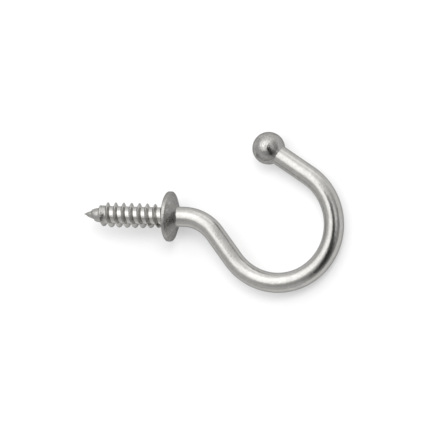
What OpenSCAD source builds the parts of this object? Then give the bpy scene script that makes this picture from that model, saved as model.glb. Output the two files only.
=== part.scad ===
// Screw hook: a wood screw, a round collar and a wire hook with a ball on its end, all one piece of metal.
// Millimetres. The hook lies on its side as it comes to rest, on the collar's rim, the ball and the end of the bow.
// +X runs from the screw's point to the bow, +Y from the neck to the ball, and +Z is up.
// The origin is on the screw's axis, in the plane of the collar's flat back.

/* [Hook] */

// Diameter of the wire
wire_d = 4; // [3:0.1:5]
// Straight neck between the collar and the first bend
neck_len = 1.3; // [0.5:0.1:6]
// Radius of the first bend, to the middle of the wire
neck_bend_r = 8.2; // [6:0.1:12]
// Angle of the first bend, in degrees
neck_bend_deg = 51.5; // [40:0.5:60]
// Straight slant between the first bend and the bow
slant_len = 6.5; // [4:0.1:12]
// Radius of the bow, to the middle of the wire
bow_r = 11.6; // [9:0.1:16]
// Angle that the bow turns through, in degrees
bow_deg = 200; // [180:1:210]
// Straight tail, from the bow to the middle of the ball
tail_len = 9.9; // [6:0.1:14]
// Diameter of the ball on the tail's end
ball_d = 6.5; // [5.5:0.1:9]

/* [Collar] */

// Diameter of the collar
collar_d = 10; // [9:0.1:14]
// Thickness of the collar's rim
collar_t = 1; // [0.8:0.05:2]
// Rounding of the rim's two edges
collar_round = 0.3; // [0.1:0.05:0.35]
// Rise of the front cone, from the rim's front to the wire
collar_rise = 1.2; // [0.6:0.1:2]
// Rounding between the front cone and the wire
collar_fillet = 0.35; // [0.1:0.05:0.6]

/* [Screw] */

// Length of the screw, from the collar's back to the point
screw_len = 17.5; // [12:0.1:30]
// Diameter over the thread
thread_d = 5; // [4.2:0.1:6]
// Diameter at the thread's root
root_d = 3.5; // [2.6:0.1:3.8]
// Pitch of the thread
thread_pitch = 1.65; // [1.2:0.05:2.2]
// Length of the tapered point
point_len = 4.2; // [3:0.1:6]

/* [Hidden] */

$fn = 72;

wire_r = wire_d / 2;
// Bending draws the wire out, so that it is a little thinner in the bends: the straight parts taper into them
bend_thinning = 0.04;
bend_r = wire_r - bend_thinning / 2;
lap = 0.4;
ball_r = ball_d / 2;
collar_r = collar_d / 2;

// The path of the wire in the plane of the hook, from the collar's back to the middle of the ball
collar_h = collar_t + collar_rise;
bend_x = collar_h + neck_len;
slant_from = [bend_x + neck_bend_r * sin(neck_bend_deg), -neck_bend_r * (1 - cos(neck_bend_deg))];
slant_to = slant_from + slant_len * [cos(neck_bend_deg), -sin(neck_bend_deg)];
bow_mid = slant_to + bow_r * [sin(neck_bend_deg), cos(neck_bend_deg)];
bow_from_deg = -90 - neck_bend_deg;
bow_to_deg = bow_from_deg + bow_deg;
tail_from = bow_mid + bow_r * [cos(bow_to_deg), sin(bow_to_deg)];
ball_mid = tail_from + tail_len * [-sin(bow_to_deg), cos(bow_to_deg)];

// The slope at which the front of the rim and the far end of the bow lie on one level
rim_x = collar_t - collar_round;
rim_r = collar_r - collar_round;
rest_run = bow_mid[0] + bow_r - rim_x;
rest_deg = atan2(rim_r, rest_run) - asin((wire_r - collar_round) / norm([rest_run, rim_r]));

// The collar's back is hollowed around the thread, so that only the outer ring bears on the wall
hollow_r = min(thread_d / 2 + 0.4, rim_r - 0.7);
hollow_depth = 0.3;

// The front cone touches the rim's rounding at one end and the fillet at the other
cone_to = [wire_r, collar_h];
cone_run = cone_to - [rim_r, rim_x];
cone_deg = atan2(cone_run[1], cone_run[0]) - acos(collar_round / norm(cone_run));
fillet_mid = [
    wire_r + collar_fillet,
    collar_h + collar_fillet * (1 / sin(cone_deg) - 1 / tan(cone_deg))
];

// The ridge of the thread: place along one pitch, and share of the ridge's height
ridge = [[0, 0], [0.2, 0.88], [0.27, 1], [0.34, 0.88], [0.54, 0]];
ridge_h = (thread_d - root_d) / 2;
rows = len(ridge);
steps = 40;
thread_from = 0.35;
thread_to = screw_len + hollow_depth + 0.1;
turns = ceil((thread_to - thread_from) / thread_pitch);
last_row = turns * rows;
thread_phase_deg = 164.5;

// How far x has come from a to b, from 0 to 1
function ramp(x, a, b) = max(0, min(1, (x - a) / (b - a)));

// Points along an arc, from one angle to another
function arc(mid, r, from, to, n = 8) = [
    for (i = [0 : n])
        let (a = from + (to - from) * i / n)
        mid + r * [cos(a), sin(a)]
];

// Radius of the screw's root at a distance from the point
function root_at(s) =
    s > thread_to ? 0.7 * min(root_d, wire_d) / 2
    : root_d / 2 * (1 - pow(1 - ramp(s, 0, point_len), 1.4));

// Height of the ridge at a distance from the point: low on the point, full on the shank, lower at the collar
function ridge_at(s) =
    s > thread_to ? 0
    : ridge_h * (0.28 * ramp(s, 0.2, point_len / 3) + 0.72 * ramp(s, 0.75 * point_len, 1.2 * point_len))
        * (1 - 0.3 * ramp(s, screw_len - 5, screw_len));

// Inside the collar the screw ends in a short stub
function along(s) = s < thread_to ? s : thread_to + (s - thread_to) / 4;

// A point of the thread's surface, by its row along the helix and its step around
function thread_point(row, step) =
    let (
        part = ridge[row % rows],
        s = thread_from + thread_pitch * (floor(row / rows) + part[0] + step / steps),
        r = root_at(s) + ridge_at(s) * part[1],
        a = thread_phase_deg + 360 * step / steps
    )
    [along(s) - screw_len, r * cos(a), r * sin(a)];

// The number of a point: one full turn further on is one pitch further along
function thread_index(row, step) =
    step < steps ? row * steps + step : (row + rows) * steps;

// A straight piece of wire in the plane of the hook, which tapers into the bends at its two ends
module rod(from, to) {
    run = to - from;
    len = norm(run);
    translate([from[0], from[1], 0])
        rotate([0, 90, atan2(run[1], run[0])])
            rotate_extrude()
                polygon([
                    [0, -lap],
                    [wire_r - bend_thinning, -lap],
                    [wire_r, 0],
                    [wire_r, len],
                    [wire_r - bend_thinning, len + lap],
                    [0, len + lap]
                ]);
}

// A bent piece of wire in the plane of the hook
module bend(mid, r, from_deg, turn_deg) {
    translate([mid[0], mid[1], 0])
        rotate_extrude(angle = turn_deg, start = from_deg)
            translate([r, 0])
                circle(r = bend_r);
}

module wire() {
    rod([hollow_depth + 0.5, 0], [bend_x, 0]);
    bend([bend_x, -neck_bend_r], neck_bend_r, 90 - neck_bend_deg, neck_bend_deg);
    rod(slant_from, slant_to);
    bend(bow_mid, bow_r, bow_from_deg, bow_deg);
    rod(tail_from, ball_mid);
}

module ball() {
    translate([ball_mid[0], ball_mid[1], 0])
        sphere(d = ball_d);
}

module collar() {
    outline = concat(
        [[0, hollow_depth], [hollow_r - 0.15, hollow_depth], [hollow_r, 0]],
        arc([rim_r, collar_round], collar_round, -90, 0),
        arc([rim_r, rim_x], collar_round, 0, cone_deg),
        arc(fillet_mid, collar_fillet, cone_deg - 180, -190),
        [[0, fillet_mid[1]]]
    );
    rotate([90, 0, 90])
        rotate_extrude()
            polygon(outline);
}

module thread() {
    points = [for (row = [0 : last_row]) for (step = [0 : steps - 1]) thread_point(row, step)];
    tip = len(points);
    stub = tip + 1;
    start_loop = concat(
        [for (step = [0 : steps - 1]) thread_index(0, step)],
        [for (row = [rows : -1 : 1]) thread_index(row, 0)]
    );
    end_loop = concat(
        [for (step = [0 : steps - 1]) thread_index(last_row, step)],
        [for (row = [last_row - 1 : -1 : last_row - rows]) thread_index(row, steps - 1)]
    );
    loop = len(start_loop);
    last = points[thread_index(last_row, steps - 1)];
    polyhedron(
        points = concat(points, [[-screw_len, 0, 0], [last[0], 0, 0]]),
        faces = concat(
            [
                for (row = [0 : last_row - 1])
                    for (step = [0 : steps - 1])
                        if (step < steps - 1 || row < last_row - rows)
                            for (half = [0, 1])
                                half == 0
                                ? [thread_index(row, step), thread_index(row + 1, step), thread_index(row, step + 1)]
                                : [
                                    thread_index(row, step + 1),
                                    thread_index(row + 1, step),
                                    thread_index(row + 1, step + 1)
                                ]
            ],
            [for (i = [0 : loop - 1]) [tip, start_loop[i], start_loop[(i + 1) % loop]]],
            [for (i = [0 : loop - 1]) [stub, end_loop[(i + 1) % loop], end_loop[i]]]
        )
    );
}

module screw_hook() {
    color([0.72, 0.72, 0.7])
        rotate([0, rest_deg, 0])
            union() {
                wire();
                ball();
                collar();
                thread();
            }
}

screw_hook();
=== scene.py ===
import math

import bpy
from mathutils import Matrix, Vector


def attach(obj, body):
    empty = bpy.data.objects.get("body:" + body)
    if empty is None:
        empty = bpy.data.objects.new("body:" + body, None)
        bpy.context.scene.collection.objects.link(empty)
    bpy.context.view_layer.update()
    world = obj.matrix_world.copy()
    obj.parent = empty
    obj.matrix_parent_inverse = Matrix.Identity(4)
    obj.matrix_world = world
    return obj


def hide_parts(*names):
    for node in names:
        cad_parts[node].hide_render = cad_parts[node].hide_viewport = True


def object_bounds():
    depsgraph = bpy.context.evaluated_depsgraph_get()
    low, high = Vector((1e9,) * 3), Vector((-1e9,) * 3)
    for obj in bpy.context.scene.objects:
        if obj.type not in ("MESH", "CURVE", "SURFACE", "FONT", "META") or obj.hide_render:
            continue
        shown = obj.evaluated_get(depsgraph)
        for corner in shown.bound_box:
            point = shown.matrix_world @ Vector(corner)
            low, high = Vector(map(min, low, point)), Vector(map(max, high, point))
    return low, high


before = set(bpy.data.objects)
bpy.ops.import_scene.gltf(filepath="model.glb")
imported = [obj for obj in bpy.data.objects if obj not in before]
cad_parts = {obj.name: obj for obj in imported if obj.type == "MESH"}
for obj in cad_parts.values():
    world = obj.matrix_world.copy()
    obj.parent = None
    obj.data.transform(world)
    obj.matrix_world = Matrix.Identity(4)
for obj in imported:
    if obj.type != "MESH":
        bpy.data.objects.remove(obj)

# A screw hook: a wood screw, a round collar and a bent wire with a ball on its end, all one piece of steel.
# In metres. The hook is modelled flat, with the screw's axis along X and the collar's back at the origin.
# It is then tipped to the slope at which it lies on the floor.

cad_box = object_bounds()

MM = 0.001
X_AXIS = Vector((1, 0, 0))
Z_AXIS = Vector((0, 0, 1))

# Wire of the hook, from the collar to the ball
WIRE_R = 2.0 * MM
NECK_LEN = 1.3 * MM
NECK_BEND_R = 8.2 * MM
NECK_BEND = math.radians(51.5)
SLANT_LEN = 6.5 * MM
BOW_R = 11.6 * MM
BOW_TURN = math.radians(200)
TAIL_LEN = 9.9 * MM
BALL_R = 3.25 * MM
BALL_FILLET = 0.1 * MM

# Collar between the hook and the screw
COLLAR_R = 5.0 * MM
COLLAR_T = 1.0 * MM
COLLAR_ROUND = 0.3 * MM
COLLAR_RISE = 1.2 * MM
COLLAR_FILLET = 0.35 * MM
HOLLOW_R = 2.9 * MM
HOLLOW_SLOPE = 0.15 * MM
HOLLOW_DEPTH = 0.3 * MM

# Screw: lengths along it are measured from its point
SCREW_LEN = 17.5 * MM
ROOT_R = 1.75 * MM
RIDGE_H = 0.75 * MM
PITCH = 1.65 * MM
THREAD_FROM = 0.35 * MM
THREAD_LAP = 0.1 * MM
THREAD_TO = SCREW_LEN + HOLLOW_DEPTH + THREAD_LAP
THREAD_PHASE = math.radians(164.5)
RUN_OUT_LEN = 5.0 * MM
RUN_OUT_LOSS = 0.3

# Gimlet point: the swell of its cone, where 1 is straight, and the share of the ridge's height that it has
POINT_LEN = 4.2 * MM
POINT_SWELL = 1.05
POINT_RIDGE = 0.45
POINT_RIDGE_TO = POINT_LEN * 2 / 3
POINT_FADE = (0.75 * POINT_LEN, 1.2 * POINT_LEN)

# Ridge of the thread, in shares of the pitch and of its own height
RIDGE_MID = 0.27
RIDGE_HALF = 0.27
CREST_HALF = 0.07
CREST_SHARE = 0.88

# How finely the mesh is divided
SIDES = 80
ARC_STEPS = 8
BALL_FILLET_STEPS = 4
NECK_BEND_STEPS = 30
BOW_STEPS = 120
STRAIGHT_STEPS = 8
BALL_RINGS = 40
THREAD_STEPS = 72
RIDGE_STEPS = 22
POINT_FRONT_STEPS = 3
WELD = 0.0005 * MM
SMOOTH_UNDER = math.radians(32)

# The steep front of the ridge on the point, as a share of the pitch
POINT_FRONT = POINT_FRONT_STEPS / RIDGE_STEPS

# The path of the wire: where its straight and bent parts meet
COLLAR_H = COLLAR_T + COLLAR_RISE
BEND_X = COLLAR_H + NECK_LEN
NECK_BEND_MID = Vector((BEND_X, -NECK_BEND_R, 0))
SLANT_DIR = Vector((math.cos(NECK_BEND), -math.sin(NECK_BEND), 0))
SLANT_LEFT = Vector((math.sin(NECK_BEND), math.cos(NECK_BEND), 0))
SLANT_FROM = NECK_BEND_MID + NECK_BEND_R * SLANT_LEFT
SLANT_TO = SLANT_FROM + SLANT_LEN * SLANT_DIR
BOW_MID = SLANT_TO + BOW_R * SLANT_LEFT
BOW_FROM = -math.pi / 2 - NECK_BEND
BOW_TO = BOW_FROM + BOW_TURN
TAIL_DIR = Vector((-math.sin(BOW_TO), math.cos(BOW_TO), 0))
TAIL_LEFT = Z_AXIS.cross(TAIL_DIR)
TAIL_FROM = BOW_MID + BOW_R * Vector((math.cos(BOW_TO), math.sin(BOW_TO), 0))
BALL_MID = TAIL_FROM + TAIL_LEN * TAIL_DIR

# The same places as lengths along the wire
SLANT_START = BEND_X + NECK_BEND_R * NECK_BEND
BOW_START = SLANT_START + SLANT_LEN
TAIL_START = BOW_START + BOW_R * BOW_TURN

# The slope at which the hook lies: on the front of the rim, the ball and the far end of the bow
RIM_X = COLLAR_T - COLLAR_ROUND
RIM_R = COLLAR_R - COLLAR_ROUND
REST_RUN = BOW_MID.x + BOW_R - RIM_X
REST = math.atan2(RIM_R, REST_RUN) - math.asin((WIRE_R - COLLAR_ROUND) / math.hypot(REST_RUN, RIM_R))


# Modelling by hand: the steps that every part of the hook uses

def deselect_all():
    bpy.ops.object.select_all(action="DESELECT")


def select_only(piece):
    deselect_all()
    piece.select_set(True)
    bpy.context.view_layer.objects.active = piece


def apply_place():
    """Moves the selected piece's place into its mesh."""
    bpy.ops.object.transform_apply(location=True, rotation=True, scale=True)


def apply_modifier(piece, modifier):
    select_only(piece)
    bpy.ops.object.modifier_apply(modifier=modifier.name)


def edit(piece):
    """Opens one piece in edit mode, with nothing else selected."""
    select_only(piece)
    bpy.ops.object.mode_set(mode="EDIT")


def finish_edit():
    bpy.ops.object.mode_set(mode="OBJECT")


def extrude(offset):
    bpy.ops.mesh.extrude_region_move(TRANSFORM_OT_translate={"value": offset})


def extrude_straight(run, steps):
    for _ in range(steps):
        extrude(run / steps)


def carry_ring(outline, foot, axis):
    """Carries the selected ring along an axis through an outline of radii and heights over the foot.

    The first point of the outline is where the ring already is."""
    for (r_was, h_was), (r, h) in zip(outline, outline[1:]):
        extrude(axis * (h - h_was))
        bpy.ops.transform.resize(value=(r / r_was,) * 3, center_override=foot + axis * h)


def bend_ring(mid, turn, steps):
    """Spins the selected ring about an upright axis, anticlockwise where the turn is positive."""
    bpy.ops.mesh.spin(steps=steps, angle=turn, center=mid, axis=-Z_AXIS)


def arc(mid, r, start, end, steps=ARC_STEPS):
    """Points of a round stretch of an outline."""
    angles = [start + (end - start) * i / steps for i in range(steps + 1)]
    return [(mid[0] + r * math.cos(a), mid[1] + r * math.sin(a)) for a in angles]


def weld(piece):
    """Merges the doubles of a closed piece and turns its faces outwards."""
    edit(piece)
    bpy.ops.mesh.select_all(action="SELECT")
    bpy.ops.mesh.remove_doubles(threshold=WELD)
    bpy.ops.mesh.normals_make_consistent(inside=False)
    finish_edit()


def join_solids(piece, other):
    """Unites two closed pieces into one, and keeps the first."""
    union = piece.modifiers.new("union", "BOOLEAN")
    union.operation = "UNION"
    union.solver = "EXACT"
    union.object = other
    apply_modifier(piece, union)
    bpy.data.objects.remove(other)


# The hook: collar, wire and ball, drawn out of one ring

def collar_outline():
    """Radius and height of the collar, from the hollow in its back to the wire at its front."""
    rise = Vector((WIRE_R - RIM_R, COLLAR_H - RIM_X))
    cone = math.atan2(rise.y, rise.x) - math.acos(COLLAR_ROUND / rise.length)
    fillet_mid = (
        WIRE_R + COLLAR_FILLET,
        COLLAR_H + COLLAR_FILLET * (1 / math.sin(cone) - 1 / math.tan(cone)),
    )
    return [
        (HOLLOW_R - HOLLOW_SLOPE, HOLLOW_DEPTH),
        (HOLLOW_R, 0),
        *arc((RIM_R, COLLAR_ROUND), COLLAR_ROUND, -math.pi / 2, 0),
        *arc((RIM_R, RIM_X), COLLAR_ROUND, 0, cone),
        *arc(fillet_mid, COLLAR_FILLET, cone - math.pi, -math.pi),
    ]


def ball_outline():
    """Radius and height over the ball's middle, from the end of the wire to just short of the far pole."""
    fillet_mid = (
        WIRE_R + BALL_FILLET,
        -math.sqrt((BALL_R + BALL_FILLET) ** 2 - (WIRE_R + BALL_FILLET) ** 2),
    )
    seam = math.atan2(-fillet_mid[1], -fillet_mid[0])
    pole_gap = math.pi / BALL_RINGS / 2
    return [
        *arc(fillet_mid, BALL_FILLET, math.pi, seam, BALL_FILLET_STEPS),
        *arc((0, 0), BALL_R, seam - math.pi, math.pi / 2 - pole_gap, BALL_RINGS)[1:],
    ]


def make_hook():
    collar = collar_outline()
    ball = ball_outline()
    deselect_all()
    bpy.ops.mesh.primitive_circle_add(
        vertices=SIDES,
        radius=collar[0][0],
        fill_type="NGON",
        location=(collar[0][1], 0, 0),
        rotation=(0, math.pi / 2, 0),
    )
    piece = bpy.context.object
    piece.name = "screw_hook_steel"
    apply_place()
    edit(piece)
    bpy.ops.mesh.select_all(action="DESELECT")
    bpy.ops.mesh.select_non_manifold()
    carry_ring(collar, Vector(), X_AXIS)
    extrude_straight(X_AXIS * (BEND_X - collar[-1][1]), STRAIGHT_STEPS)
    bend_ring(NECK_BEND_MID, -NECK_BEND, NECK_BEND_STEPS)
    extrude_straight(SLANT_DIR * SLANT_LEN, STRAIGHT_STEPS)
    bend_ring(BOW_MID, BOW_TURN, BOW_STEPS)
    extrude_straight(TAIL_DIR * (TAIL_LEN + ball[0][1]), STRAIGHT_STEPS)
    carry_ring(ball, BALL_MID, TAIL_DIR)
    extrude(TAIL_DIR * (BALL_R - ball[-1][1]))
    bpy.ops.mesh.merge(type="CENTER")
    finish_edit()
    weld(piece)
    return piece


# The screw: one ridge of the thread, wound up and then drawn in to its point.
# The winding starts a pitch early, and what lies beyond the two ends is drawn in to the axis
WIND_FROM = THREAD_FROM - PITCH


def ramp(x, a, b):
    """How far x has come from a to b, from 0 to 1."""
    return max(0.0, min(1.0, (x - a) / (b - a)))


def past_point(s):
    """From 0 on the point to 1 on the shank."""
    return ramp(s, *POINT_FADE)


def root_at(s):
    """Radius of the screw's root at a distance from the point."""
    return ROOT_R * (1 - (1 - ramp(s, 0, POINT_LEN)) ** POINT_SWELL)


def ridge_at(s):
    """Height of the ridge: low on the point, full on the shank, lower at the collar."""
    on_point = POINT_RIDGE * ramp(s, 0, POINT_RIDGE_TO)
    on_shank = (1 - POINT_RIDGE) * past_point(s)
    run_out = 1 - RUN_OUT_LOSS * ramp(s, SCREW_LEN - RUN_OUT_LEN, SCREW_LEN)
    return RIDGE_H * (on_point + on_shank) * run_out


def ridge_share(place):
    """Share of the ridge's height at a place along one pitch: a rounded crest on two straight flanks."""
    off = abs(place - RIDGE_MID)
    if off < CREST_HALF:
        return 1 - (1 - CREST_SHARE) * (off / CREST_HALF) ** 2
    return max(0.0, CREST_SHARE * (RIDGE_HALF - off) / (RIDGE_HALF - CREST_HALF))


def point_share(place):
    """The same on the point: a steep front, and a long back that slopes down to the next front."""
    past_front = (place - RIDGE_MID + POINT_FRONT) % 1
    if past_front < POINT_FRONT:
        return past_front / POINT_FRONT
    return (1 - past_front) / (1 - POINT_FRONT)


def draw_ridge():
    """The outline of one ridge, a pitch long, drawn out of a single point on the root."""
    deselect_all()
    bpy.ops.mesh.primitive_plane_add(size=PITCH, location=(WIND_FROM - SCREW_LEN, ROOT_R, 0))
    piece = bpy.context.object
    piece.name = "screw"
    apply_place()
    edit(piece)
    bpy.ops.mesh.select_all(action="SELECT")
    bpy.ops.mesh.merge(type="CENTER")
    for i in range(RIDGE_STEPS):
        climb = ridge_share((i + 1) / RIDGE_STEPS) - ridge_share(i / RIDGE_STEPS)
        extrude((PITCH / RIDGE_STEPS, RIDGE_H * climb, 0))
    finish_edit()
    return piece


def wind_ridge(piece):
    winding = piece.modifiers.new("winding", "SCREW")
    winding.axis = "X"
    winding.angle = 2 * math.pi
    winding.screw_offset = PITCH
    winding.iterations = math.ceil((THREAD_TO - WIND_FROM) / PITCH) + 1
    winding.steps = THREAD_STEPS
    winding.render_steps = THREAD_STEPS
    apply_modifier(piece, winding)


def draw_in(piece):
    """Draws the wound ridge in to the screw's point, and closes its two ends on the axis."""
    phase = Matrix.Rotation(THREAD_PHASE, 4, "X")
    for vertex in piece.data.vertices:
        s = vertex.co.x + SCREW_LEN
        round_axis = Vector((0, vertex.co.y, vertex.co.z))
        turns = math.atan2(vertex.co.z, vertex.co.y) / (2 * math.pi)
        on_point = point_share((s - WIND_FROM) / PITCH - turns)
        on_shank = max(0, round_axis.length - ROOT_R) / RIDGE_H
        share = on_point + (on_shank - on_point) * past_point(s)
        inside = 0 < s < THREAD_TO
        r = root_at(s) + ridge_at(s) * share if inside else 0
        place = phase @ (round_axis.normalized() * r)
        place.x = max(0, min(s, THREAD_TO)) - SCREW_LEN
        vertex.co = place


def make_screw():
    piece = draw_ridge()
    wind_ridge(piece)
    draw_in(piece)
    weld(piece)
    return piece


# Places on the wire as if it were straight, for the finish that drawing leaves along it

def straightened(place):
    """Distance along the wire, and the two offsets from its middle line, for a place on the flat hook."""
    if place.x < BEND_X:
        return Vector((place.x, place.y, place.z))
    off_neck = place - NECK_BEND_MID
    off_slant = place - SLANT_FROM
    off_bow = place - BOW_MID
    off_tail = place - TAIL_FROM
    neck_turn = math.atan2(off_neck.x, off_neck.y)
    slant_run = off_slant.dot(SLANT_DIR)
    bow_turn = (math.atan2(off_bow.y, off_bow.x) - BOW_FROM) % (2 * math.pi)
    tail_run = off_tail.dot(TAIL_DIR)
    options = []
    if 0 <= neck_turn <= NECK_BEND:
        options.append((BEND_X + NECK_BEND_R * neck_turn, math.hypot(off_neck.x, off_neck.y) - NECK_BEND_R))
    if 0 <= slant_run <= SLANT_LEN:
        options.append((SLANT_START + slant_run, off_slant.dot(SLANT_LEFT)))
    if bow_turn <= BOW_TURN:
        options.append((BOW_START + BOW_R * bow_turn, BOW_R - math.hypot(off_bow.x, off_bow.y)))
    if tail_run >= 0:
        options.append((TAIL_START + tail_run, off_tail.dot(TAIL_LEFT)))
    along, aside = min(options, key=lambda option: abs(option[1]))
    return Vector((along, aside, place.z))


def mark_straightened(piece):
    """Keeps the straightened places on the piece, in millimetres."""
    marks = piece.data.attributes.new("straightened", "FLOAT_VECTOR", "POINT")
    for vertex, mark in zip(piece.data.vertices, marks.data):
        mark.vector = straightened(vertex.co) / MM


# Nodes that the finishes and the studio use

def grey(tone):
    return (tone, tone, tone, 1)


def feed(tree, value, socket):
    """Gives a socket a plain value, or links it to another node's output."""
    if isinstance(value, bpy.types.NodeSocket):
        tree.links.new(value, socket)
    else:
        socket.default_value = value


def math_node(tree, operation, a, b):
    node = tree.nodes.new("ShaderNodeMath")
    node.operation = operation
    feed(tree, a, node.inputs[0])
    feed(tree, b, node.inputs[1])
    return node.outputs["Value"]


def map_range(tree, value, low, high, to_low=0.0, to_high=1.0, smooth=False):
    node = tree.nodes.new("ShaderNodeMapRange")
    node.interpolation_type = "SMOOTHSTEP" if smooth else "LINEAR"
    feed(tree, value, node.inputs["Value"])
    feed(tree, low, node.inputs["From Min"])
    feed(tree, high, node.inputs["From Max"])
    feed(tree, to_low, node.inputs["To Min"])
    feed(tree, to_high, node.inputs["To Max"])
    return node.outputs["Result"]


def noise(tree, vector, scale, detail, roughness):
    node = tree.nodes.new("ShaderNodeTexNoise")
    feed(tree, vector, node.inputs["Vector"])
    feed(tree, scale, node.inputs["Scale"])
    feed(tree, detail, node.inputs["Detail"])
    feed(tree, roughness, node.inputs["Roughness"])
    return node.outputs["Fac"]


def mix_colours(tree, blend, factor, a, b):
    node = tree.nodes.new("ShaderNodeMix")
    node.data_type = "RGBA"
    node.blend_type = blend
    feed(tree, factor, node.inputs["Factor"])
    feed(tree, a, node.inputs["A"])
    feed(tree, b, node.inputs["B"])
    return node.outputs["Result"]


def node_group(name, inputs, outputs):
    group = bpy.data.node_groups.new(name, "ShaderNodeTree")
    for socket, kind in inputs:
        group.interface.new_socket(name=socket, in_out="INPUT", socket_type=kind)
    for socket, kind in outputs:
        group.interface.new_socket(name=socket, in_out="OUTPUT", socket_type=kind)
    return group, group.nodes.new("NodeGroupInput"), group.nodes.new("NodeGroupOutput")


def place_group(tree, group, place):
    """Puts a shared effect into a material, on the places that it is given."""
    node = tree.nodes.new("ShaderNodeGroup")
    node.node_tree = group
    feed(tree, place, node.inputs["Place"])
    return node


# Finishes of the steel: its pale and dark tone, the roughness of the dark and the pale,
# the shares of streaks and grain in its relief, the scale of the grain and the depth of the relief
FINISHES = {
    "drawn_satin_wire": {
        "pale": (0.48, 0.472, 0.455, 1),
        "dark": (0.37, 0.364, 0.351, 1),
        "rough": (0.26, 0.18),
        "streaks": 0.3,
        "grain": 0.7,
        "grain_scale": 2.4,
        "depth": 0.016 * MM,
    },
    "tumbled_ball": {
        "pale": (0.45, 0.443, 0.428, 1),
        "dark": (0.24, 0.236, 0.228, 1),
        "rough": (0.27, 0.18),
        "streaks": 0.0,
        "grain": 1.0,
        "grain_scale": 2.8,
        "depth": 0.03 * MM,
    },
    # The collar's rougher pressed finish is its own; its darker pale and dark tones are painted shade, for
    # the dark floor that its face mirrors.
    "pressed_collar_painted_shade": {
        "pale": (0.42, 0.413, 0.398, 1),
        "dark": (0.2, 0.197, 0.19, 1),
        "rough": (0.34, 0.23),
        "streaks": 0.0,
        "grain": 1.0,
        "grain_scale": 2.8,
        "depth": 0.03 * MM,
    },
    "rolled_thread": {
        "pale": (0.52, 0.512, 0.494, 1),
        "dark": (0.4, 0.394, 0.38, 1),
        "rough": (0.24, 0.15),
        "streaks": 0.2,
        "grain": 0.8,
        "grain_scale": 2.8,
        "depth": 0.025 * MM,
    },
}
# Grey tint on the steel's edges: painted shade, darkening what the edges mirror at grazing angles.
PAINTED_EDGE_SHADE_TINT = 0.45
CLOUD_SHARE = 0.45
CLOUD_SCALE = 0.8
STREAK_SCALE = 6.0
STREAK_STRETCH = 0.06

# The dull point, by its place along the straightened wire in millimetres
DULL_TO = -12.9
BRIGHT_FROM = -12.3
DULL_TONE = 0.8
DULL_ROUGH = 0.1

# Where one finish gives way to the next
BALL_FINISH_FROM = -0.8 * BALL_R
JUST_OUTSIDE = 1.01
SLIVER = 0.01 * MM


def make_drawn_streaks():
    """Fine lines that run along the wire: a mask from 0 to 1."""
    group, start, end = node_group(
        "drawn streaks",
        [("Place", "NodeSocketVector"), ("Fineness", "NodeSocketFloat")],
        [("Streaks", "NodeSocketFloat")],
    )
    stretch = group.nodes.new("ShaderNodeMapping")
    stretch.inputs["Scale"].default_value = (STREAK_STRETCH, 1, 1)
    feed(group, start.outputs["Place"], stretch.inputs["Vector"])
    lines = noise(group, stretch.outputs["Vector"], start.outputs["Fineness"], detail=4, roughness=0.65)
    feed(group, map_range(group, lines, low=0.3, high=0.7), end.inputs["Streaks"])
    return group


def make_tumbled_grain():
    """The even, fine grain of tumbled steel, and the soft clouds in it: masks from 0 to 1."""
    group, start, end = node_group(
        "tumbled grain",
        [
            ("Place", "NodeSocketVector"),
            ("Grain Scale", "NodeSocketFloat"),
            ("Cloud Scale", "NodeSocketFloat"),
        ],
        [("Grain", "NodeSocketFloat"), ("Clouds", "NodeSocketFloat")],
    )
    grain = noise(group, start.outputs["Place"], start.outputs["Grain Scale"], detail=2, roughness=0.5)
    clouds = noise(group, start.outputs["Place"], start.outputs["Cloud Scale"], detail=3, roughness=0.55)
    feed(group, map_range(group, grain, low=0.25, high=0.75), end.inputs["Grain"])
    feed(group, map_range(group, clouds, low=0.3, high=0.7), end.inputs["Clouds"])
    return group


def make_steel(name, finish, streaks, grain):
    """Satin steel: its tone, gloss and surface vary with the drawn streaks and the tumbled grain.

    The screw's point, which is cut and not polished, is duller than the rest."""
    material = bpy.data.materials.new(name)
    material.use_nodes = True
    tree = material.node_tree
    shader = tree.nodes["Principled BSDF"]
    shader.inputs["Metallic"].default_value = 1.0
    # The edge tint is painted shade: it darkens the reflection along the edges.
    shader.inputs["Specular Tint"].default_value = grey(PAINTED_EDGE_SHADE_TINT)

    marks = tree.nodes.new("ShaderNodeAttribute")
    marks.attribute_name = "straightened"
    place = marks.outputs["Vector"]
    lines = place_group(tree, streaks, place)
    lines.inputs["Fineness"].default_value = STREAK_SCALE
    tumbled = place_group(tree, grain, place)
    tumbled.inputs["Grain Scale"].default_value = finish["grain_scale"]
    tumbled.inputs["Cloud Scale"].default_value = CLOUD_SCALE

    streaked = math_node(tree, "MULTIPLY", lines.outputs["Streaks"], finish["streaks"])
    grained = math_node(tree, "MULTIPLY", tumbled.outputs["Grain"], finish["grain"])
    surface = math_node(tree, "ADD", streaked, grained)
    clouded = math_node(tree, "MULTIPLY", tumbled.outputs["Clouds"], CLOUD_SHARE)
    rubbed = math_node(tree, "MULTIPLY", surface, 1 - CLOUD_SHARE)
    tone_mask = math_node(tree, "ADD", clouded, rubbed)

    split = tree.nodes.new("ShaderNodeSeparateXYZ")
    feed(tree, place, split.inputs["Vector"])
    along = split.outputs["X"]
    polish = map_range(tree, along, DULL_TO, BRIGHT_FROM, DULL_TONE, 1.0, smooth=True)
    dullness = map_range(tree, along, DULL_TO, BRIGHT_FROM, DULL_ROUGH, 0.0, smooth=True)

    tone = mix_colours(tree, "MIX", tone_mask, finish["dark"], finish["pale"])
    feed(tree, mix_colours(tree, "MULTIPLY", 1.0, tone, polish), shader.inputs["Base Color"])
    roughness = map_range(tree, tone_mask, 0, 1, *finish["rough"])
    feed(tree, math_node(tree, "ADD", roughness, dullness), shader.inputs["Roughness"])

    relief = tree.nodes.new("ShaderNodeBump")
    relief.inputs["Distance"].default_value = finish["depth"]
    feed(tree, surface, relief.inputs["Height"])
    feed(tree, relief.outputs["Normal"], shader.inputs["Normal"])
    return material


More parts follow.
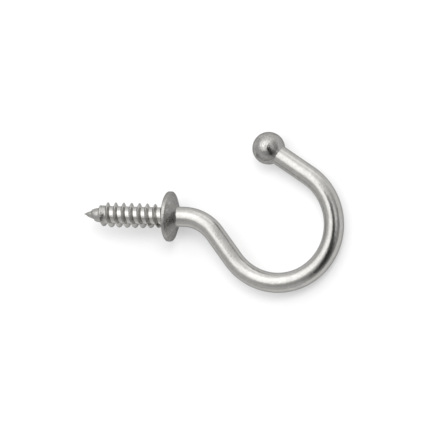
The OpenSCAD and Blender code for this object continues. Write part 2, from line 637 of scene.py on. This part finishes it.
def finish_at(place):
    """The finish that the steel has at a place on the flat hook."""
    off_axis = math.hypot(place.y, place.z)
    off_ball = place - BALL_MID
    if off_ball.length < BALL_R * JUST_OUTSIDE and off_ball.dot(TAIL_DIR) > BALL_FINISH_FROM:
        return "tumbled_ball"
    # The collar: its steel is darkened with painted shade, for the floor that it mirrors.
    if -SLIVER < place.x < COLLAR_H + COLLAR_FILLET and off_axis > WIRE_R * JUST_OUTSIDE:
        return "pressed_collar_painted_shade"
    if place.x < HOLLOW_DEPTH + SLIVER:
        return "rolled_thread"
    return "drawn_satin_wire"


def dress(piece):
    """Gives the wire, the ball, the collar and the thread their own finishes."""
    streaks = make_drawn_streaks()
    grain = make_tumbled_grain()
    for name, finish in FINISHES.items():
        piece.data.materials.append(make_steel(name, finish, streaks, grain))
    names = list(FINISHES)
    for face in piece.data.polygons:
        face.material_index = names.index(finish_at(face.center))


def make_screw_hook():
    piece = make_hook()
    join_solids(piece, make_screw())
    weld(piece)
    mark_straightened(piece)
    dress(piece)
    select_only(piece)
    piece.rotation_euler = (0, REST, 0)
    apply_place()
    bpy.ops.object.shade_smooth_by_angle(angle=SMOOTH_UNDER)
    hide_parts("screw_hook")
    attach(piece, "root")


# Camera: the hook fills the frame as it does in the photograph.
# Its angles are in radians, and its aim is measured in the picture from a place on the screw's axis
FRAME_W = 85.14 * MM
LENS = 1200.0
SENSOR = 36.0
CLIP_NEAR = 0.01
CLIP_FAR = 20.0
VIEW_YAW = 0.305
VIEW_ROLL = 0.028
AIM_FROM = 0.8 * MM
AIM_RIGHT = 8.474 * MM
AIM_UP = 0.497 * MM

VIEW_LEAN = VIEW_YAW + REST
TO_CAMERA = Vector((math.sin(VIEW_LEAN), 0, math.cos(VIEW_LEAN)))
LEVEL_RIGHT = Vector((math.cos(VIEW_LEAN), 0, -math.sin(VIEW_LEAN)))
LEVEL_UP = Vector((0, 1, 0))
RIGHT = math.cos(VIEW_ROLL) * LEVEL_RIGHT + math.sin(VIEW_ROLL) * LEVEL_UP
UP = -math.sin(VIEW_ROLL) * LEVEL_RIGHT + math.cos(VIEW_ROLL) * LEVEL_UP


def make_camera():
    data = bpy.data.cameras.new("camera")
    data.lens = LENS
    data.sensor_width = SENSOR
    data.clip_start = CLIP_NEAR
    data.clip_end = CLIP_FAR
    camera = bpy.data.objects.new("camera", data)
    bpy.context.scene.collection.objects.link(camera)
    on_axis = AIM_FROM * Vector((math.cos(REST), 0, -math.sin(REST)))
    target = on_axis + AIM_RIGHT * RIGHT + AIM_UP * UP
    distance = FRAME_W * LENS / SENSOR
    turn = Matrix((RIGHT, UP, TO_CAMERA)).transposed().to_4x4()
    camera.matrix_world = Matrix.Translation(target + distance * TO_CAMERA) @ turn
    bpy.context.scene.camera = camera


def seen_at(azimuth, angle):
    """A direction, by its azimuth in the picture and its angle from the camera.

    The azimuth runs anticlockwise from the right."""
    a = math.radians(azimuth)
    b = math.radians(angle)
    return math.cos(b) * TO_CAMERA + math.sin(b) * (math.cos(a) * RIGHT + math.sin(a) * UP)


# Studio: a pale floor under soft light from the upper left, with a dark corner at the lower right.
# Lights and shades are round and fade from an inner to an outer angle, in degrees.
# A light adds its strength, and a shade keeps a share of what is there
FLOOR_HALF = 3.0
FLOOR_TONE = 0.45
FLOOR_GLOW = 0.42
AMBIENT = 0.78
SOFT_LIGHTS = [
    {"azimuth": 148, "angle": 42, "inner": 12, "outer": 42, "strength": 1.25},
    {"azimuth": 108, "angle": 60, "inner": 5, "outer": 52, "strength": 0.65},
    {"azimuth": 178, "angle": 31, "inner": 5, "outer": 24, "strength": 0.25},
    {"azimuth": 72, "angle": 84, "inner": 5, "outer": 30, "strength": 0.7},
    {"azimuth": 24, "angle": 24, "inner": 4, "outer": 15, "strength": 0.65},
]
SHADES = [
    {"azimuth": 4, "angle": 67, "inner": 10, "outer": 36, "keep": 0.47},
    {"azimuth": 130, "angle": 4, "inner": 11, "outer": 20, "keep": 0.03},
    {"azimuth": -75, "angle": 15, "inner": 6, "outer": 17, "keep": 0.15},
    {"azimuth": -66, "angle": 32, "inner": 12, "outer": 26, "keep": 0.12},
    {"azimuth": -56, "angle": 48, "inner": 12, "outer": 34, "keep": 0.35},
    {"azimuth": -122, "angle": 44, "inner": 10, "outer": 24, "keep": 0.72},
]
LAMP_FROM = {"azimuth": 95, "angle": 20}
LAMP_LEVEL = 0.5
LAMP_SPREAD = math.radians(25)


def lobe(tree, direction, part):
    """One light or shade of the studio: 1 at its middle and 0 outside it."""
    toward = tree.nodes.new("ShaderNodeVectorMath")
    toward.operation = "DOT_PRODUCT"
    feed(tree, direction, toward.inputs[0])
    feed(tree, seen_at(part["azimuth"], part["angle"]), toward.inputs[1])
    inner = math.cos(math.radians(part["inner"]))
    outer = math.cos(math.radians(part["outer"]))
    return map_range(tree, toward.outputs["Value"], outer, inner, smooth=True)


def make_world():
    world = bpy.data.worlds.new("studio")
    bpy.context.scene.world = world
    world.use_nodes = True
    tree = world.node_tree
    direction = tree.nodes.new("ShaderNodeTexCoord").outputs["Generated"]
    strength = AMBIENT
    for part in SOFT_LIGHTS:
        light = math_node(tree, "MULTIPLY", lobe(tree, direction, part), part["strength"])
        strength = math_node(tree, "ADD", light, strength)
    for part in SHADES:
        loss = math_node(tree, "MULTIPLY", lobe(tree, direction, part), 1 - part["keep"])
        strength = math_node(tree, "MULTIPLY", strength, math_node(tree, "SUBTRACT", 1.0, loss))
    background = tree.nodes["Background"]
    feed(tree, grey(1), background.inputs["Color"])
    feed(tree, strength, background.inputs["Strength"])


def make_lamp():
    """A soft lamp for the shadow on the floor; the steel mirrors only the studio around it."""
    data = bpy.data.lights.new("soft_lamp", "SUN")
    data.energy = LAMP_LEVEL * math.pi
    data.angle = LAMP_SPREAD
    lamp = bpy.data.objects.new("soft_lamp", data)
    bpy.context.scene.collection.objects.link(lamp)
    lamp.rotation_euler = seen_at(**LAMP_FROM).to_track_quat("Z", "Y").to_euler()
    lamp.visible_glossy = False


def make_pale_floor_finish():
    """Pale paper with a glow of its own, which only the camera, mirrors and glass see."""
    material = bpy.data.materials.new("pale_floor")
    material.use_nodes = True
    tree = material.node_tree
    tree.nodes.remove(tree.nodes["Principled BSDF"])
    paper = tree.nodes.new("ShaderNodeBsdfDiffuse")
    paper.inputs["Color"].default_value = grey(FLOOR_TONE)
    glow = tree.nodes.new("ShaderNodeEmission")
    rays = tree.nodes.new("ShaderNodeLightPath")
    seen = math_node(tree, "MAXIMUM", rays.outputs["Is Camera Ray"], rays.outputs["Is Glossy Ray"])
    seen = math_node(tree, "MAXIMUM", seen, rays.outputs["Is Transmission Ray"])
    feed(tree, math_node(tree, "MULTIPLY", seen, FLOOR_GLOW), glow.inputs["Strength"])
    both = tree.nodes.new("ShaderNodeAddShader")
    feed(tree, paper.outputs["BSDF"], both.inputs[0])
    feed(tree, glow.outputs["Emission"], both.inputs[1])
    feed(tree, both.outputs["Shader"], tree.nodes["Material Output"].inputs["Surface"])
    return material


def make_floor():
    deselect_all()
    bpy.ops.mesh.primitive_plane_add(size=2 * FLOOR_HALF, location=(0, 0, cad_box[0].z))
    floor = bpy.context.object
    floor.name = "floor"
    floor.data.materials.append(make_pale_floor_finish())


make_screw_hook()
make_camera()
make_world()
make_lamp()
make_floor()
bpy.context.scene.view_settings.view_transform = "Standard"
